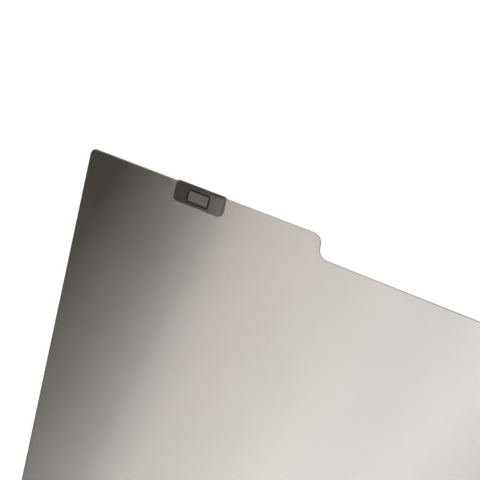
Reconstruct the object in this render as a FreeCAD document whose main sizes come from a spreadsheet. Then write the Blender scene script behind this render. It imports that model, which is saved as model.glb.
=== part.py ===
import FreeCAD, Part
import math
import os

import Sketcher

# A privacy filter for a laptop screen, lying on its back. X runs along its width and Y up the screen,
# with the origin under the middle of the sheet, on the surface that it lies on. Lengths are in millimetres.
# A clip in the middle of each ear of the sheet folds behind it and is stuck to the screen's bezel.

SIZES = {
    # Filter sheet
    "sheet_width": 310,
    "sheet_height": 182,
    "sheet_thickness": 0.5,
    "corner_round": 2.7,
    "ear_length": 105,
    "ear_rise": 7.9,
    "ear_round": 3.8,
    "notch_round": 3.8,
    # Clip: from the sheet's side to its middle, its length, and its reach below the sheet's top edge
    "clip_inset": 53.7,
    "clip_length": 21.8,
    "clip_drop": 7.5,
    "clip_round": 1.7,
    "shoulder_round": 0.5,
    # Clip cover
    "cover_thickness": 0.7,
    "cover_edge_round": 0.4,
    "groove_width": 0.7,
    "groove_depth": 0.5,
    # Latch stud: its drop runs from the sheet's top edge to its middle
    "stud_length": 8.8,
    "stud_height": 4,
    "stud_drop": 3.7,
    "stud_round": 0.4,
    "stud_edge_round": 0.15,
    "stud_recess": 0.05,
    "stud_fit": 0.05,
    "stud_hole_clearance": 0.1,
    "head_lip": 0.5,
    "head_clearance": 0.3,
    # Hinge strip
    "edge_gap": 0.05,
    "strip_thickness": 0.15,
    "strip_inset": 0.4,
    # Bezel leaf and its adhesive pads
    "leaf_thickness": 0.5,
    "leaf_gap": 0.1,
    "prong_round": 0.4,
    "pad_thickness": 0.2,
    "pad_margin": 0.5,
    "pad_round": 0.8,
}

# Levels of the stack, from the surface up
LEAF_BACK = "Sizes.pad_thickness"
LEAF_FACE = f"({LEAF_BACK} + Sizes.leaf_thickness)"
SHEET_BACK = f"({LEAF_FACE} + Sizes.leaf_gap)"
SHEET_FACE = f"({SHEET_BACK} + Sizes.sheet_thickness)"
COVER_FACE = f"({SHEET_FACE} + Sizes.cover_thickness)"
STUD_FACE = f"({COVER_FACE} - Sizes.stud_recess)"

# Places that pieces share: those of a clip are from its middle and from the sheet's top edge
SHEET_SIDE = "(Sizes.sheet_width / 2)"
SHEET_TOP = "(Sizes.sheet_height / 2)"
EAR_END = f"({SHEET_SIDE} - Sizes.ear_length)"
NOTCH_FLOOR = f"({SHEET_TOP} - Sizes.ear_rise)"
CLIP_MIDDLE = f"({SHEET_SIDE} - Sizes.clip_inset)"
CLIP_END = "(Sizes.clip_length / 2)"
CLIP_FOOT = "(-Sizes.clip_drop)"
CLIP_TOP = "Sizes.edge_gap"
SLOT_SIDE = "(Sizes.stud_length / 2 + Sizes.head_lip + Sizes.head_clearance)"
SLOT_TOP = "(Sizes.stud_height / 2 + Sizes.head_lip + Sizes.head_clearance - Sizes.stud_drop)"

# Corners of the outlines in the order they are drawn: only their turns matter, as each side is then driven
RECTANGLE = [(-1, -1), (1, -1), (1, 1), (-1, 1)]
EARED_SHEET = [(-3, -2), (3, -2), (3, 2), (2, 2), (2, 1), (-2, 1), (-2, 2), (-3, 2)]
FORK = [(-3, -2), (-2, -2), (-2, 1), (2, 1), (2, -2), (3, -2), (3, 2), (-3, 2)]

SIDES = {"left": -1, "right": 1}
SAME_PLACE = 1e-4

doc = FreeCAD.newDocument("PrivacyFilter")
sizes = doc.addObject("Spreadsheet::Sheet", "Sizes")
for row, (alias, size) in enumerate(SIZES.items(), 1):
    sizes.set(f"A{row}", alias)
    sizes.set(f"B{row}", str(size))
    sizes.setAlias(f"B{row}", alias)
doc.recompute()


def new_body(label):
    body = doc.addObject("PartDesign::Body", label)
    body.Label = label
    return body


def new_clip_body(side, piece):
    """A body in the clip's own frame: its middle on X, the sheet's top edge on Y."""
    body = new_body(f"{side}_{piece}")
    body.setExpression("Placement.Base.x", f"{SIDES[side]} * {CLIP_MIDDLE}")
    body.setExpression("Placement.Base.y", SHEET_TOP)
    return body


def new_sketch(body, name, level=None, role="XY_Plane"):
    sketch = body.newObject("Sketcher::SketchObject", f"{body.Name}_{name}")
    plane = next(plane for plane in body.Origin.OriginFeatures if plane.Role == role)
    sketch.AttachmentSupport = (plane, [""])
    sketch.MapMode = "FlatFace"
    if level:
        sketch.setExpression("AttachmentOffset.Base.z", level)
    return sketch


def drive(sketch, kind, references, start, expression):
    """Add a dimension to a sketch and tie it to an expression."""
    number = sketch.addConstraint(Sketcher.Constraint(kind, *references, float(start)))
    sketch.setExpression(f"Constraints[{number}]", expression)


def outline(sketch, corners, places):
    """Close level and upright lines through the corners, each line held at its place from the origin."""
    ends = corners[1:] + corners[:1]
    for start, end in zip(corners, ends):
        sketch.addGeometry(Part.LineSegment(FreeCAD.Vector(*start, 0), FreeCAD.Vector(*end, 0)))
    for line, (start, end, place) in enumerate(zip(corners, ends, places)):
        next_line = (line + 1) % len(corners)
        sketch.addConstraint(Sketcher.Constraint("Coincident", line, 2, next_line, 1))
        if start[1] == end[1]:
            sketch.addConstraint(Sketcher.Constraint("Horizontal", line))
            drive(sketch, "DistanceY", (-1, 1, line, 1), start[1], place)
        else:
            sketch.addConstraint(Sketcher.Constraint("Vertical", line))
            drive(sketch, "DistanceX", (-1, 1, line, 1), start[0], place)


def rectangle(sketch, left, right, bottom, top):
    outline(sketch, RECTANGLE, [bottom, right, top, left])


def half_ring(sketch, place, level, inner_radius, outer_radius):
    """Half a ring on the far side of its centre, closed by an upright line at each end."""
    start = 1
    radii = {inner_radius: 1, outer_radius: 2}
    for radius in radii.values():
        circle = Part.Circle(FreeCAD.Vector(start, start, 0), FreeCAD.Vector(0, 0, 1), radius)
        sketch.addGeometry(Part.ArcOfCircle(circle, -math.pi / 2, math.pi / 2))
    inner, outer = 0, 1
    for end, way in ((1, -1), (2, 1)):
        reach = [FreeCAD.Vector(start, start + way * radius, 0) for radius in radii.values()]
        line = sketch.addGeometry(Part.LineSegment(*reach))
        sketch.addConstraint(Sketcher.Constraint("Coincident", line, 1, inner, end))
        sketch.addConstraint(Sketcher.Constraint("Coincident", line, 2, outer, end))
        sketch.addConstraint(Sketcher.Constraint("Vertical", line))
        sketch.addConstraint(Sketcher.Constraint("Vertical", inner, 3, inner, end))
    sketch.addConstraint(Sketcher.Constraint("Coincident", inner, 3, outer, 3))
    drive(sketch, "DistanceX", (-1, 1, inner, 3), start, place)
    drive(sketch, "DistanceY", (-1, 1, inner, 3), start, level)
    for arc, (expression, radius) in enumerate(radii.items()):
        drive(sketch, "Radius", (arc,), radius, expression)


def pad(body, sketch, length):
    feature = body.newObject("PartDesign::Pad", f"{sketch.Name}_pad")
    feature.Profile = sketch
    feature.setExpression("Length", length)
    doc.recompute()
    return feature


def pocket(body, sketch, depth):
    before = body.Shape.Volume
    feature = body.newObject("PartDesign::Pocket", f"{sketch.Name}_pocket")
    feature.Profile = sketch
    feature.setExpression("Length", depth)
    doc.recompute()
    if body.Shape.Volume >= before:
        raise RuntimeError(f"{feature.Name} cuts nothing")


def fillet(body, name, radius, picks):
    """Round the edges of the body's last feature that the test picks."""
    base = body.Tip
    names = [f"Edge{number}" for number, edge in enumerate(base.Shape.Edges, 1) if picks(edge)]
    feature = body.newObject("PartDesign::Fillet", f"{body.Name}_{name}")
    feature.Base = (base, names)
    feature.setExpression("Radius", radius)
    doc.recompute()


def is_near(place, expression):
    return abs(place - sizes.evalExpression(expression.replace("Sizes.", ""))) < SAME_PLACE


def is_upright(edge):
    span = edge.Vertexes[-1].Point - edge.Vertexes[0].Point
    return abs(span.z) > SAME_PLACE > math.hypot(span.x, span.y)


def at_level(level):
    """A test for edges that lie at a level."""
    return lambda edge: all(is_near(vertex.Z, level) for vertex in edge.Vertexes)


def upright_at(side, height=None, middle="0"):
    """A test for upright edges that far to either side of a middle, and at a place on Y if one is given."""

    def picks(edge):
        place = edge.CenterOfMass
        offset = f"({side} - abs({place.x} - {middle}))"
        return is_upright(edge) and is_near(0, offset) and (height is None or is_near(place.y, height))

    return picks


def stud_section(body, name, level, growth, middle="0", top_edge="0"):
    """A sketch of the stud's section, grown on every side, which hangs below the sheet's top edge."""
    sketch = new_sketch(body, name, level)
    half_length = f"(Sizes.stud_length / 2 + {growth})"
    half_height = f"(Sizes.stud_height / 2 + {growth})"
    drop = f"({top_edge} - Sizes.stud_drop)"
    rectangle(
        sketch,
        f"{middle} - {half_length}",
        f"{middle} + {half_length}",
        f"{drop} - {half_height}",
        f"{drop} + {half_height}",
    )
    return sketch


def round_stud_corners(body, name, growth, middle="0"):
    """Round the corners of a stud's section, about the stud's own corners."""
    side = f"(Sizes.stud_length / 2 + {growth})"
    fillet(body, f"{name}_corners", f"Sizes.stud_round + {growth}", upright_at(side, middle=middle))


def cut_for_stud(body, name, level, growth, depth, middle="0", top_edge="0"):
    pocket(body, stud_section(body, name, level, growth, middle, top_edge), depth)
    round_stud_corners(body, name, growth, middle)


# The filter sheet: one film, with an ear at each end of its top edge and the camera's notch between them.
# Each step from an ear to the notch is two arcs, which share the step's rise if it is too low for both.
def make_filter_sheet():
    body = new_body("filter_sheet")
    plan = new_sketch(body, "outline", SHEET_BACK)
    sides = [
        f"-{SHEET_TOP}",
        SHEET_SIDE,
        SHEET_TOP,
        EAR_END,
        NOTCH_FLOOR,
        f"-{EAR_END}",
        SHEET_TOP,
        f"-{SHEET_SIDE}",
    ]
    outline(plan, EARED_SHEET, sides)
    pad(body, plan, "Sizes.sheet_thickness")
    fillet(body, "corners", "Sizes.corner_round", upright_at(SHEET_SIDE))
    most_round = "0.49 * Sizes.ear_rise"
    fillet(body, "ears", f"min(Sizes.ear_round; {most_round})", upright_at(EAR_END, SHEET_TOP))
    fillet(body, "notch", f"min(Sizes.notch_round; {most_round})", upright_at(EAR_END, NOTCH_FLOOR))
    for side, sign in SIDES.items():
        middle = f"({sign} * {CLIP_MIDDLE})"
        growth = "Sizes.stud_hole_clearance"
        cut_for_stud(body, f"{side}_hole", SHEET_FACE, growth, "Sizes.sheet_thickness", middle, SHEET_TOP)
    return body


# The clip's front plate, moulded with a window for the stud and a groove round the window.
def make_clip_cover(side):
    body = new_clip_body(side, "clip_cover")
    plan = new_sketch(body, "outline", SHEET_FACE)
    rectangle(plan, f"-{CLIP_END}", CLIP_END, CLIP_FOOT, CLIP_TOP)
    pad(body, plan, "Sizes.cover_thickness")
    fillet(body, "corners", "Sizes.clip_round", upright_at(CLIP_END, CLIP_FOOT))
    fillet(body, "shoulders", "Sizes.shoulder_round", upright_at(CLIP_END, CLIP_TOP))
    fillet(body, "rim", "Sizes.cover_edge_round", at_level(COVER_FACE))
    cut_for_stud(body, "groove", COVER_FACE, "Sizes.groove_width", "Sizes.groove_depth")
    cut_for_stud(body, "window", COVER_FACE, "Sizes.stud_fit", "Sizes.cover_thickness")
    return body


# The stud goes through the sheet and the cover from behind, and its head holds the sheet against the cover.
def make_latch_stud(side):
    body = new_clip_body(side, "latch_stud")
    pad(body, stud_section(body, "head", None, "Sizes.head_lip"), SHEET_BACK)
    round_stud_corners(body, "head", "Sizes.head_lip")
    pad(body, stud_section(body, "shank", SHEET_BACK, "0"), f"{STUD_FACE} - {SHEET_BACK}")
    round_stud_corners(body, "shank", "0")
    fillet(body, "face_rim", "Sizes.stud_edge_round", at_level(STUD_FACE))
    return body


# The soft strip that joins the cover to the leaf: half a thin tube, rolled over the sheet's top edge.
def make_hinge_strip(side):
    body = new_clip_body(side, "hinge_strip")
    section = new_sketch(body, "section", role="YZ_Plane")
    inner_radius = f"({SHEET_FACE} - {LEAF_FACE}) / 2"
    outer_radius = f"{inner_radius} + Sizes.strip_thickness"
    half_ring(section, CLIP_TOP, f"({LEAF_FACE} + {SHEET_FACE}) / 2", inner_radius, outer_radius)
    strip = pad(body, section, "Sizes.clip_length - 2 * Sizes.strip_inset")
    strip.Midplane = True
    return body


# The plate that is stuck to the bezel: a fork, so that it lies flat beside the stud's head.
def make_bezel_leaf(side):
    body = new_clip_body(side, "bezel_leaf")
    plan = new_sketch(body, "outline", LEAF_BACK)
    sides = [
        CLIP_FOOT,
        f"-{SLOT_SIDE}",
        SLOT_TOP,
        SLOT_SIDE,
        CLIP_FOOT,
        CLIP_END,
        CLIP_TOP,
        f"-{CLIP_END}",
    ]
    outline(plan, FORK, sides)
    pad(body, plan, "Sizes.leaf_thickness")
    fillet(body, "corners", "Sizes.clip_round", upright_at(CLIP_END, CLIP_FOOT))
    fillet(body, "shoulders", "Sizes.shoulder_round", upright_at(CLIP_END, CLIP_TOP))
    fillet(body, "prongs", "Sizes.prong_round", upright_at(SLOT_SIDE))
    return body


# One adhesive pad on each prong of the leaf: the outer one is nearer to the side of the sheet.
def make_adhesive_pad(side, place):
    body = new_clip_body(side, f"{place}_pad")
    plan = new_sketch(body, "outline")
    near_end = f"({SLOT_SIDE} + Sizes.pad_margin)"
    far_end = f"({CLIP_END} - Sizes.pad_margin)"
    is_right = (side == "right") == (place == "outer")
    ends = (near_end, far_end) if is_right else (f"-{far_end}", f"-{near_end}")
    rectangle(plan, *ends, f"{CLIP_FOOT} + Sizes.pad_margin", f"{CLIP_TOP} - Sizes.pad_margin")
    pad(body, plan, "Sizes.pad_thickness")
    fillet(body, "corners", "Sizes.pad_round", is_upright)
    return body


pieces = [make_filter_sheet()]
for side in SIDES:
    pieces += [
        make_clip_cover(side),
        make_latch_stud(side),
        make_hinge_strip(side),
        make_bezel_leaf(side),
        make_adhesive_pad(side, "outer"),
        make_adhesive_pad(side, "inner"),
    ]
doc.recompute()

for item in doc.Objects:
    if "Invalid" in item.State or "Error" in item.State:
        raise RuntimeError(f"{item.Name} failed to build")
for piece in pieces:
    if piece.Shape.isNull() or not piece.Shape.isValid():
        raise RuntimeError(f"{piece.Label} has no valid shape")

os.makedirs("parts", exist_ok=True)
for piece in pieces:
    piece.Shape.exportStep(f"parts/{piece.Label}.step")
    print(piece.Label, len(piece.Shape.Solids), "solid", round(piece.Shape.Volume, 2), "mm3")
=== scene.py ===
"""A privacy filter for a laptop screen: louvred film with two flip-up clips, lying on a white floor."""

import math

import bmesh
import bpy
from mathutils import Matrix, Vector


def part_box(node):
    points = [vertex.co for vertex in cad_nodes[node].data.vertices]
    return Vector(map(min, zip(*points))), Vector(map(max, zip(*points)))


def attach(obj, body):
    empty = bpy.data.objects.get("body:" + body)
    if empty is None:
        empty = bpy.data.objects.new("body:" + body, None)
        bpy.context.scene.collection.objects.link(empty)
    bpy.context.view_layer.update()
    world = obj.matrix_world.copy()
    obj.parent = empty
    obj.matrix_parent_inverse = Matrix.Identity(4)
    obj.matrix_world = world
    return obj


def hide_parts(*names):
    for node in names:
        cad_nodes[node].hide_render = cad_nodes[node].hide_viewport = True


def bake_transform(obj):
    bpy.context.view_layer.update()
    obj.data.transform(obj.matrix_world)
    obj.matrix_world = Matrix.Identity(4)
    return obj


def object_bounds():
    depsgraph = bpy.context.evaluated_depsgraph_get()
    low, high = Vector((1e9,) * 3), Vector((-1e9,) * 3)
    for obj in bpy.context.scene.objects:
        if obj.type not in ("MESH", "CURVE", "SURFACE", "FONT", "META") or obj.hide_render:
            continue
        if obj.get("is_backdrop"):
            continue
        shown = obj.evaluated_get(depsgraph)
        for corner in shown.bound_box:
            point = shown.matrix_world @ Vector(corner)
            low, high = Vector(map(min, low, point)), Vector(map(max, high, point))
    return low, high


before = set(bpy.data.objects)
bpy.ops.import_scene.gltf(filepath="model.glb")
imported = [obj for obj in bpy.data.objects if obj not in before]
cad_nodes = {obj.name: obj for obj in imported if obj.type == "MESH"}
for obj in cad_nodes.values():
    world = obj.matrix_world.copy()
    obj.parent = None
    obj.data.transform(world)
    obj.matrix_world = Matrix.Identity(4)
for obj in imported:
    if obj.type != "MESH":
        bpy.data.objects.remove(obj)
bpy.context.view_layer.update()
scene = bpy.context.scene


# The filter sheet: two thin clear films laminated over a louvred core, die-cut to shape.
# Its faces have a satin anti-glare coat. The sheet is the CAD's own solid, let through by a plain alpha;
# that dims its gloss too, so the index is raised until the gloss is a clear film's again.
FILM_COLOUR = (0.215, 0.189, 0.157, 1.0)
FILM_ALPHA = 0.14
FILM_INDEX = 4.0
FILM_ROUGHNESS = 0.186
FILM_CLOUD_SCALE = 40.0
FILM_CLOUD_SPREAD = 0.05
CLOUD_DETAIL = 3.0
CLOUD_LOW = 0.3
CLOUD_HIGH = 0.7


def add_node(tree, kind, inputs=None, **settings):
    """A new shader node, with its settings made and its sockets fed by values or by other sockets."""
    node = tree.nodes.new(kind)
    for name, value in settings.items():
        setattr(node, name, value)
    for name, value in (inputs or {}).items():
        if isinstance(value, bpy.types.NodeSocket):
            tree.links.new(value, node.inputs[name])
        else:
            node.inputs[name].default_value = value
    return node


def add_math(tree, operation, *values):
    """A socket with the result of that sum on values or other sockets."""
    return add_node(tree, "ShaderNodeMath", dict(enumerate(values)), operation=operation).outputs["Value"]


def new_group(name, inputs, outputs):
    """An empty shader node group with those sockets; returns it and its two end nodes."""
    group = bpy.data.node_groups.new(name, "ShaderNodeTree")
    for socket, kind in inputs.items():
        group.interface.new_socket(socket, in_out="INPUT", socket_type=kind)
    for socket, kind in outputs.items():
        group.interface.new_socket(socket, in_out="OUTPUT", socket_type=kind)
    return group, add_node(group, "NodeGroupInput"), add_node(group, "NodeGroupOutput")


# Soft clouds that make a finish lighter and darker, and a little rougher and smoother.
surface_clouds, given, made = new_group(
    "surface_clouds",
    {
        "Place": "NodeSocketVector",
        "Scale": "NodeSocketFloat",
        "Colour": "NodeSocketColor",
        "Spread": "NodeSocketFloat",
        "Roughness": "NodeSocketFloat",
    },
    {"Colour": "NodeSocketColor", "Roughness": "NodeSocketFloat"},
)
cloud = add_node(
    surface_clouds,
    "ShaderNodeTexNoise",
    {"Vector": given.outputs["Place"], "Scale": given.outputs["Scale"], "Detail": CLOUD_DETAIL},
)
swing = add_node(
    surface_clouds,
    "ShaderNodeMapRange",
    {
        "Value": cloud.outputs["Fac"],
        "From Min": CLOUD_LOW,
        "From Max": CLOUD_HIGH,
        "To Min": -1.0,
        "To Max": 1.0,
    },
)
level = add_math(surface_clouds, "MULTIPLY_ADD", swing.outputs["Result"], given.outputs["Spread"], 1.0)
tinted = add_node(
    surface_clouds,
    "ShaderNodeVectorMath",
    {0: given.outputs["Colour"], "Scale": level},
    operation="SCALE",
)
rubbed = add_math(surface_clouds, "MULTIPLY", given.outputs["Roughness"], level)
surface_clouds.links.new(tinted.outputs["Vector"], made.inputs["Colour"])
surface_clouds.links.new(rubbed, made.inputs["Roughness"])


def add_effect(tree, group, **inputs):
    """The outputs of a shared effect, placed in a material on the piece's own coordinates."""
    effect = add_node(tree, "ShaderNodeGroup", node_tree=group)
    place = add_node(tree, "ShaderNodeTexCoord").outputs["Object"]
    tree.links.new(place, effect.inputs["Place"])
    for name, value in inputs.items():
        effect.inputs[name].default_value = value
    return effect.outputs


def new_material(name):
    """A material with its one Principled shader; returns the material, its tree and that shader."""
    material = bpy.data.materials.new(name)
    material.use_nodes = True
    tree = material.node_tree
    return material, tree, tree.nodes["Principled BSDF"]


def new_finish(name, colour, scale, spread, roughness):
    """A new material whose colour and roughness drift in those clouds."""
    material, tree, shader = new_material(name)
    clouds = add_effect(
        tree, surface_clouds, Scale=scale, Colour=colour, Spread=spread, Roughness=roughness
    )
    tree.links.new(clouds["Colour"], shader.inputs["Base Color"])
    tree.links.new(clouds["Roughness"], shader.inputs["Roughness"])
    return material, tree, shader


def dress(node, material):
    """The CAD node shown in that material alone."""
    shape = cad_nodes[node].data
    shape.materials.clear()
    shape.materials.append(material)


film, tree, shader = new_finish(
    "louvre_film", FILM_COLOUR, FILM_CLOUD_SCALE, FILM_CLOUD_SPREAD, FILM_ROUGHNESS
)
shader.inputs["IOR"].default_value = FILM_INDEX
shader.inputs["Alpha"].default_value = FILM_ALPHA
dress("filter_sheet", film)


# The louvres: upright blades of black plastic in the clear core, sliced with it from one layered block.
# Seen along the blades the sheet is clear, seen across them it goes dark; they lean a little on the sheet.
# The core's black shows as a thin line along the cut edge too.
MM = 0.001
BLADE_PITCH = 0.2 * MM
BLADE_WIDTH = 0.0595 * MM
BLADE_HEIGHT = 0.236 * MM
BLADE_LEAN = math.radians(20.0)
BLADE_MARGIN = 0.3 * MM
EDGE_SKIN = 0.02 * MM
EDGE_WIDTH = 0.15 * MM
EDGE_HEIGHT = 0.4 * MM
FACE_TOLERANCE = 0.001 * MM
WELD_DISTANCE = 0.0001 * MM
BLADE_COLOUR = (0.012, 0.011, 0.010, 1.0)
BLADE_CLOUD_SCALE = 90.0
BLADE_CLOUD_SPREAD = 0.15
BLADE_ROUGHNESS = 0.8
BLADE_SHEEN = 0.1

sheet_low, sheet_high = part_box("filter_sheet")
core_middle = (sheet_low.z + sheet_high.z) / 2
along = Vector((math.sin(BLADE_LEAN), math.cos(BLADE_LEAN), 0.0))
across = Vector((math.cos(BLADE_LEAN), -math.sin(BLADE_LEAN), 0.0))

# The sheet's upper face alone, and the pairs of corners along its rim and its two slots.
face_mesh = bmesh.new()
face_mesh.from_mesh(cad_nodes["filter_sheet"].data)
face_level = sheet_high.z - FACE_TOLERANCE
lower_faces = [face for face in face_mesh.faces if face.calc_center_median().z < face_level]
bmesh.ops.delete(face_mesh, geom=lower_faces, context="FACES")
bmesh.ops.remove_doubles(face_mesh, verts=face_mesh.verts, dist=WELD_DISTANCE)
rim = [tuple(corner.co.copy() for corner in edge.verts) for edge in face_mesh.edges if edge.is_boundary]

# Each blade runs from rim to rim, and stops a little short of it.
blade_mesh = bmesh.new()
offsets = [corner.dot(across) for pair in rim for corner in pair]
blade_count = int((max(offsets) - min(offsets)) / BLADE_PITCH)
for index in range(blade_count):
    offset = min(offsets) + (index + 0.5) * BLADE_PITCH
    crossings = []
    for first, second in rim:
        start = first.dot(across) - offset
        end = second.dot(across) - offset
        if start * end < 0:
            crossings.append(first.lerp(second, start / (start - end)).dot(along))
    crossings.sort()
    for low, high in zip(crossings[0::2], crossings[1::2]):
        length = high - low - 2 * BLADE_MARGIN
        if length > 0:
            middle = across * offset + along * ((low + high) / 2) + Vector((0, 0, core_middle))
            stand = Matrix.Translation(middle) @ Matrix.Rotation(-BLADE_LEAN, 4, "Z")
            size = Matrix.Diagonal((BLADE_WIDTH, length, BLADE_HEIGHT, 1.0))
            bmesh.ops.create_cube(blade_mesh, size=1.0, matrix=stand @ size)


def new_piece(name, mesh, material):
    """The finished bmesh as a piece at the origin, in that material."""
    shape = bpy.data.meshes.new(name)
    mesh.to_mesh(shape)
    mesh.free()
    shape.materials.append(material)
    piece = bpy.data.objects.new(name, shape)
    scene.collection.objects.link(piece)
    return piece


louvre_black, tree, shader = new_finish(
    "louvre_black", BLADE_COLOUR, BLADE_CLOUD_SCALE, BLADE_CLOUD_SPREAD, BLADE_ROUGHNESS
)
shader.inputs["Specular IOR Level"].default_value = BLADE_SHEEN
louvres = new_piece("louvre_blades", blade_mesh, louvre_black)
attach(louvres, "filter")


def inset_rim(mesh, width):
    """The upper face's rim cut off as a band of that width; returns the band's faces."""
    inset = bmesh.ops.inset_region(
        mesh, faces=mesh.faces[:], thickness=width, use_boundary=True, use_even_offset=True
    )
    return inset["faces"]


# The edge's black is a flat ring, one skin in from the rim and halfway down the sheet.
bmesh.ops.delete(face_mesh, geom=inset_rim(face_mesh, EDGE_SKIN), context="FACES")
ring = inset_rim(face_mesh, EDGE_WIDTH)
bmesh.ops.delete(face_mesh, geom=list(set(face_mesh.faces) - set(ring)), context="FACES")
raised = bmesh.ops.extrude_face_region(face_mesh, geom=face_mesh.faces[:])
raised_corners = [part for part in raised["geom"] if isinstance(part, bmesh.types.BMVert)]
bmesh.ops.translate(face_mesh, verts=raised_corners, vec=(0, 0, -EDGE_HEIGHT))
drop = sheet_high.z - core_middle - EDGE_HEIGHT / 2
bmesh.ops.translate(face_mesh, verts=face_mesh.verts, vec=(0, 0, -drop))
bmesh.ops.recalc_face_normals(face_mesh, faces=face_mesh.faces)
cut_edge = new_piece("cut_edge", face_mesh, louvre_black)
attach(cut_edge, "filter")


# The clip covers: moulded black plastic plates glued on the front of the ears, one on each.
# Their tops have a fine spark-eroded grain and a half-gloss that shows the softbox. Their upright sides
# have painted light, a paler colour than the tops, and the gap round the stud in each window is matt, with
# painted shade in near black.
COVER_COLOUR = (0.0155, 0.0145, 0.0135, 1.0)
COVER_CLOUD_SCALE = 400.0
COVER_CLOUD_SPREAD = 0.1
COVER_ROUGHNESS = 0.15
COVER_GRAIN_SCALE = 6000.0
COVER_GRAIN_DEPTH = 0.002 * MM
# painted light: the paler colour put on the covers' upright sides
COVER_SIDE_PAINTED_LIGHT = (0.10, 0.097, 0.093, 1.0)
SIDE_STEEP = 0.25
SIDE_SHALLOW = 0.75
GAP_WIDTH = 0.7 * MM
GAP_DROP = 0.06 * MM
# painted shade: the near black put in the gap round each stud
GAP_PAINTED_SHADE = (0.010, 0.010, 0.010, 1.0)
GAP_ROUGHNESS = 0.9
GRAIN_DETAIL = 2.0

# The fine grain that a spark-eroded mould leaves on plastic and rubber.
moulded_grain, given, made = new_group(
    "moulded_grain",
    {"Place": "NodeSocketVector", "Scale": "NodeSocketFloat", "Depth": "NodeSocketFloat"},
    {"Normal": "NodeSocketVector"},
)
pits = add_node(
    moulded_grain,
    "ShaderNodeTexNoise",
    {"Vector": given.outputs["Place"], "Scale": given.outputs["Scale"], "Detail": GRAIN_DETAIL},
)
bump = add_node(
    moulded_grain,
    "ShaderNodeBump",
    {"Height": pits.outputs["Fac"], "Strength": 1.0, "Distance": given.outputs["Depth"]},
)
moulded_grain.links.new(bump.outputs["Normal"], made.inputs["Normal"])


def add_grain(tree, shader, scale, depth):
    """The moulded grain put on a material, with pits of that depth."""
    grain = add_effect(tree, moulded_grain, Scale=scale, Depth=depth)
    tree.links.new(grain["Normal"], shader.inputs["Normal"])


def mix_into(tree, socket, share, colour):
    """That colour mixed over what already feeds the socket, where the share is 1."""
    fed_by = socket.links[0].from_socket
    inputs = {"Factor": share, "A": fed_by, "B": colour}
    mix = add_node(tree, "ShaderNodeMix", inputs, data_type="RGBA")
    tree.links.new(mix.outputs["Result"], socket)


# Where the gap round each stud is painted dark as shade: over the sheet, under the covers' faces and as
# wide as the grooves.
stud_corners = [corner.co for corner in cad_nodes["right_latch_stud"].data.vertices]
shank_corners = [corner for corner in stud_corners if corner.z > sheet_high.z]
shank_low = Vector([min(corner[axis] for corner in shank_corners) for axis in range(3)])
shank_high = Vector([max(corner[axis] for corner in shank_corners) for axis in range(3)])
gap_low = Vector((shank_low.x - GAP_WIDTH, shank_low.y - GAP_WIDTH, sheet_high.z))
gap_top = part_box("right_clip_cover")[1].z - GAP_DROP
gap_high = Vector((shank_high.x + GAP_WIDTH, shank_high.y + GAP_WIDTH, gap_top))
gap_middle = (gap_low + gap_high) / 2
gap_reach = (gap_high - gap_low) / 2

stud_gap_shade, given, made = new_group("stud_gap_shade", {"Place": "NodeSocketVector"}, {"Mask": "NodeSocketFloat"})
spot = add_node(stud_gap_shade, "ShaderNodeSeparateXYZ", {0: given.outputs["Place"]}).outputs
either_side = add_math(stud_gap_shade, "ABSOLUTE", spot["X"])
within_length = add_math(stud_gap_shade, "COMPARE", either_side, gap_middle.x, gap_reach.x)
within_height = add_math(stud_gap_shade, "COMPARE", spot["Y"], gap_middle.y, gap_reach.y)
within_depth = add_math(stud_gap_shade, "COMPARE", spot["Z"], gap_middle.z, gap_reach.z)
within_plan = add_math(stud_gap_shade, "MULTIPLY", within_length, within_height)
stud_gap_shade.links.new(add_math(stud_gap_shade, "MULTIPLY", within_plan, within_depth), made.inputs["Mask"])

cover_plastic, tree, shader = new_finish(
    "cover_finish", COVER_COLOUR, COVER_CLOUD_SCALE, COVER_CLOUD_SPREAD, COVER_ROUGHNESS
)
# Painted light: the covers' upright sides are made paler than the tops, as if lit.
facing = add_node(tree, "ShaderNodeTexCoord").outputs["Normal"]
rise = add_node(tree, "ShaderNodeSeparateXYZ", {0: facing}).outputs["Z"]
upright = add_node(
    tree,
    "ShaderNodeMapRange",
    {"Value": rise, "From Min": SIDE_STEEP, "From Max": SIDE_SHALLOW, "To Min": 1.0, "To Max": 0.0},
)
mix_into(tree, shader.inputs["Base Color"], upright.outputs["Result"], COVER_SIDE_PAINTED_LIGHT)
# Painted shade: the gap round the stud goes near black, and matt.
gap = add_effect(tree, stud_gap_shade)["Mask"]
mix_into(tree, shader.inputs["Base Color"], gap, GAP_PAINTED_SHADE)
face_roughness = shader.inputs["Roughness"].links[0].from_socket
gap_roughness = add_math(tree, "MULTIPLY", gap, GAP_ROUGHNESS)
roughness = add_math(tree, "MAXIMUM", face_roughness, gap_roughness)
tree.links.new(roughness, shader.inputs["Roughness"])
add_grain(tree, shader, COVER_GRAIN_SCALE, COVER_GRAIN_DEPTH)
for side in ("left", "right"):
    dress(side + "_clip_cover", cover_plastic)


# The latch studs: matt dark grey plugs that pass through the cover and the sheet, with heads behind.
# Their heads snap into the forks of the leaves, and their ends show in the covers' windows.
STUD_COLOUR = (0.07, 0.069, 0.069, 1.0)
STUD_CLOUD_SCALE = 900.0
STUD_CLOUD_SPREAD = 0.06
STUD_ROUGHNESS = 0.7
STUD_SHEEN = 0.15
STUD_GRAIN_SCALE = 5000.0
STUD_GRAIN_DEPTH = 0.004 * MM

stud_plastic, tree, shader = new_finish(
    "stud_finish", STUD_COLOUR, STUD_CLOUD_SCALE, STUD_CLOUD_SPREAD, STUD_ROUGHNESS
)
# Painted shade: the stud's sides down in the gap go near black too.
mix_into(tree, shader.inputs["Base Color"], add_effect(tree, stud_gap_shade)["Mask"], GAP_PAINTED_SHADE)
add_grain(tree, shader, STUD_GRAIN_SCALE, STUD_GRAIN_DEPTH)
shader.inputs["Specular IOR Level"].default_value = STUD_SHEEN
for side in ("left", "right"):
    dress(side + "_latch_stud", stud_plastic)
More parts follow.
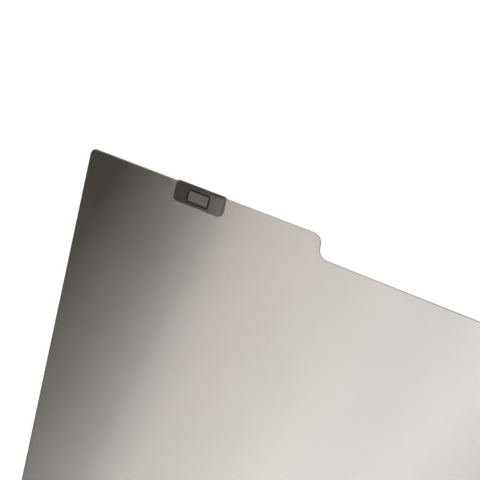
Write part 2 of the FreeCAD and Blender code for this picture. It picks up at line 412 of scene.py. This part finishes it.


# The hinge strips: soft black rubber rolled over the sheet's top edge, bonded to cover and leaf.
# Each bends as its leaf flips up; here it is a fixed half-round roll that stands in for the CAD's solid.
STRIP_STEPS = 16
STRIP_COLOUR = (0.009, 0.009, 0.009, 1.0)
STRIP_CLOUD_SCALE = 700.0
STRIP_CLOUD_SPREAD = 0.2
STRIP_ROUGHNESS = 0.55
STRIP_GRAIN_SCALE = 7000.0
STRIP_GRAIN_DEPTH = 0.003 * MM

strip_rubber, tree, shader = new_finish(
    "strip_finish", STRIP_COLOUR, STRIP_CLOUD_SCALE, STRIP_CLOUD_SPREAD, STRIP_ROUGHNESS
)
add_grain(tree, shader, STRIP_GRAIN_SCALE, STRIP_GRAIN_DEPTH)

for side in ("left", "right"):
    node = side + "_hinge_strip"
    strip_low, strip_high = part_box(node)
    roll_middle = Vector((0, strip_low.y, (strip_low.z + strip_high.z) / 2))
    strip_mesh = bmesh.new()
    corners = [
        strip_mesh.verts.new((x, strip_low.y, z))
        for x, z in (
            (strip_low.x, sheet_high.z),
            (strip_high.x, sheet_high.z),
            (strip_high.x, strip_high.z),
            (strip_low.x, strip_high.z),
        )
    ]
    first_end = strip_mesh.faces.new(corners)
    bmesh.ops.spin(
        strip_mesh,
        geom=[first_end] + first_end.edges[:] + first_end.verts[:],
        cent=roll_middle,
        axis=(1, 0, 0),
        angle=-math.pi,
        steps=STRIP_STEPS,
    )
    bmesh.ops.recalc_face_normals(strip_mesh, faces=strip_mesh.faces)
    strip = new_piece(node + "_soft", strip_mesh, strip_rubber)
    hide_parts(node)
    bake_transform(strip)


# The bezel leaves: thin forked plates of black plastic folded flat behind the ears.
# They stay stuck to the screen's bezel while the sheet flips up, and each fork goes round a stud's head.
LEAF_COLOUR = (0.02, 0.02, 0.021, 1.0)
LEAF_CLOUD_SCALE = 500.0
LEAF_CLOUD_SPREAD = 0.15
LEAF_ROUGHNESS = 0.5
LEAF_GRAIN_SCALE = 5000.0
LEAF_GRAIN_DEPTH = 0.004 * MM

leaf_plastic, tree, shader = new_finish(
    "leaf_finish", LEAF_COLOUR, LEAF_CLOUD_SCALE, LEAF_CLOUD_SPREAD, LEAF_ROUGHNESS
)
add_grain(tree, shader, LEAF_GRAIN_SCALE, LEAF_GRAIN_DEPTH)
for side in ("left", "right"):
    dress(side + "_bezel_leaf", leaf_plastic)


# The adhesive pads: two pieces of thin double-sided tape on the back of each leaf.
# Their pale acrylic foam is pressed on the screen's bezel.
PAD_COLOUR = (0.42, 0.42, 0.41, 1.0)
PAD_CLOUD_SCALE = 1500.0
PAD_CLOUD_SPREAD = 0.12
PAD_ROUGHNESS = 0.65
PAD_GRAIN_SCALE = 4000.0
PAD_GRAIN_DEPTH = 0.01 * MM

pad_foam, tree, shader = new_finish(
    "adhesive_foam", PAD_COLOUR, PAD_CLOUD_SCALE, PAD_CLOUD_SPREAD, PAD_ROUGHNESS
)
add_grain(tree, shader, PAD_GRAIN_SCALE, PAD_GRAIN_DEPTH)
for side in ("left", "right"):
    for end in ("outer", "inner"):
        dress(f"{side}_{end}_pad", pad_foam)


# The studio floor: a white bowl, flat under the part and turned up far round it.
# It glows a little to the camera, so that it is white, and keeps the part's soft shadow.
FLOOR_RADIUS = 2.6
WALL_ROUND = 0.6
WALL_HEIGHT = 1.4
WALL_STEPS = 12
FLOOR_STEPS = 96
FLOOR_WELD = 0.001 * MM
FLOOR_GLOW = 0.85
FLOOR_COLOUR = (0.9, 0.9, 0.9, 1.0)
WHITE = (1.0, 1.0, 1.0, 1.0)

floor_mesh = bmesh.new()
profile = [(0.0, 0.0), (FLOOR_RADIUS, 0.0)]
for step in range(1, WALL_STEPS + 1):
    bend = math.pi / 2 * step / WALL_STEPS
    profile.append((FLOOR_RADIUS + WALL_ROUND * math.sin(bend), WALL_ROUND * (1 - math.cos(bend))))
profile.append((FLOOR_RADIUS + WALL_ROUND, WALL_HEIGHT))
corners = [floor_mesh.verts.new((x, 0.0, z)) for x, z in profile]
edges = [floor_mesh.edges.new(pair) for pair in zip(corners, corners[1:])]
bmesh.ops.spin(
    floor_mesh,
    geom=corners + edges,
    cent=(0, 0, 0),
    axis=(0, 0, 1),
    angle=math.tau,
    steps=FLOOR_STEPS,
    use_merge=True,
)
bmesh.ops.remove_doubles(floor_mesh, verts=floor_mesh.verts, dist=FLOOR_WELD)
bmesh.ops.recalc_face_normals(floor_mesh, faces=floor_mesh.faces)

floor_white, tree, shader = new_material("floor_white")
shader.inputs["Base Color"].default_value = FLOOR_COLOUR
shader.inputs["Roughness"].default_value = 1.0
shader.inputs["Specular IOR Level"].default_value = 0.0
path = add_node(tree, "ShaderNodeLightPath").outputs
seen = add_math(tree, "MAXIMUM", path["Is Camera Ray"], path["Is Transmission Ray"])
seen = add_math(tree, "MAXIMUM", seen, path["Is Glossy Ray"])
share = add_math(tree, "MULTIPLY", seen, FLOOR_GLOW)
glow = add_node(tree, "ShaderNodeEmission", {"Color": WHITE, "Strength": 1.0})
sources = {"Fac": share, 1: shader.outputs["BSDF"], 2: glow.outputs["Emission"]}
blend = add_node(tree, "ShaderNodeMixShader", sources)
tree.links.new(blend.outputs["Shader"], tree.nodes["Material Output"].inputs["Surface"])
floor = new_piece("studio_floor", floor_mesh, floor_white)
floor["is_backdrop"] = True


# The studio lights: a narrow bright softbox between a wide dim one and a bounce card, in a dim room.
# The outer edge of the first lies nearly along the louvres, where film and clips turn from bright to dark.
SOFTBOX_TURN = math.radians(10.5)
SOFTBOX_HEIGHT = 0.8
KEY_ACROSS = (-0.494, -0.185)
KEY_ALONG = (-1.1, 0.0)
KEY_GLOW = 4.25
KEY_COLOUR = (1.0, 0.9, 0.78)
FILL_ACROSS = (-0.185, 1.7)
FILL_ALONG = (-1.1, 0.9)
FILL_GLOW = 2.1
FILL_COLOUR = (1.0, 0.935, 0.855)
CARD_ACROSS = (-1.0, -0.494)
CARD_ALONG = (-1.1, -0.37)
CARD_GLOW = 0.345
CARD_COLOUR = (1.0, 1.0, 1.0)
WATTS_FOR_GLOW = 4.0
ROOM_LIGHT = 0.15


def add_softbox(name, across_ends, along_ends, glow, colour):
    """A softbox facing down, which spans those places across and along the turned studio."""
    lamp = bpy.data.lights.new(name, "AREA")
    lamp.shape = "RECTANGLE"
    lamp.size = across_ends[1] - across_ends[0]
    lamp.size_y = along_ends[1] - along_ends[0]
    lamp.energy = WATTS_FOR_GLOW * lamp.size * lamp.size_y * glow
    lamp.color = colour
    softbox = bpy.data.objects.new(name, lamp)
    middle = Vector((sum(across_ends) / 2, sum(along_ends) / 2, SOFTBOX_HEIGHT))
    softbox.matrix_world = Matrix.Rotation(-SOFTBOX_TURN, 4, "Z") @ Matrix.Translation(middle)
    scene.collection.objects.link(softbox)
    softbox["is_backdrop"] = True


add_softbox("key_softbox", KEY_ACROSS, KEY_ALONG, KEY_GLOW, KEY_COLOUR)
add_softbox("fill_softbox", FILL_ACROSS, FILL_ALONG, FILL_GLOW, FILL_COLOUR)
add_softbox("bounce_card", CARD_ACROSS, CARD_ALONG, CARD_GLOW, CARD_COLOUR)

world = bpy.data.worlds.new("room")
world.use_nodes = True
world.node_tree.nodes["Background"].inputs["Color"].default_value = WHITE
world.node_tree.nodes["Background"].inputs["Strength"].default_value = ROOM_LIGHT
scene.world = world
scene.view_settings.view_transform = "Standard"


# The camera: above the sheet's top edge, looking down at its upper left corner.
# Its upright leans on the sheet, so that the top edge falls away to the right.
CAMERA_PLACE = Vector((46.29, 152.86, 257.03)) * MM
CAMERA_AIM = Vector((-80.45, 78.51, 1.3)) * MM
CAMERA_LEAN = math.radians(16.61)
CAMERA_LENS = 60.75
CAMERA_SENSOR = 36.0
CAMERA_NEAR = 10.0 * MM

forward = (CAMERA_AIM - CAMERA_PLACE).normalized()
upward = Vector((-math.sin(CAMERA_LEAN), math.cos(CAMERA_LEAN), 0.0))
rightward = forward.cross(upward).normalized()
upward = rightward.cross(forward)
lens = bpy.data.cameras.new("camera")
lens.lens = CAMERA_LENS
lens.sensor_width = CAMERA_SENSOR
lens.clip_start = CAMERA_NEAR
camera = bpy.data.objects.new("camera", lens)
turn = Matrix((rightward, upward, -forward)).transposed().to_4x4()
camera.matrix_world = Matrix.Translation(CAMERA_PLACE) @ turn
scene.collection.objects.link(camera)
scene.camera = camera


low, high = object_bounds()
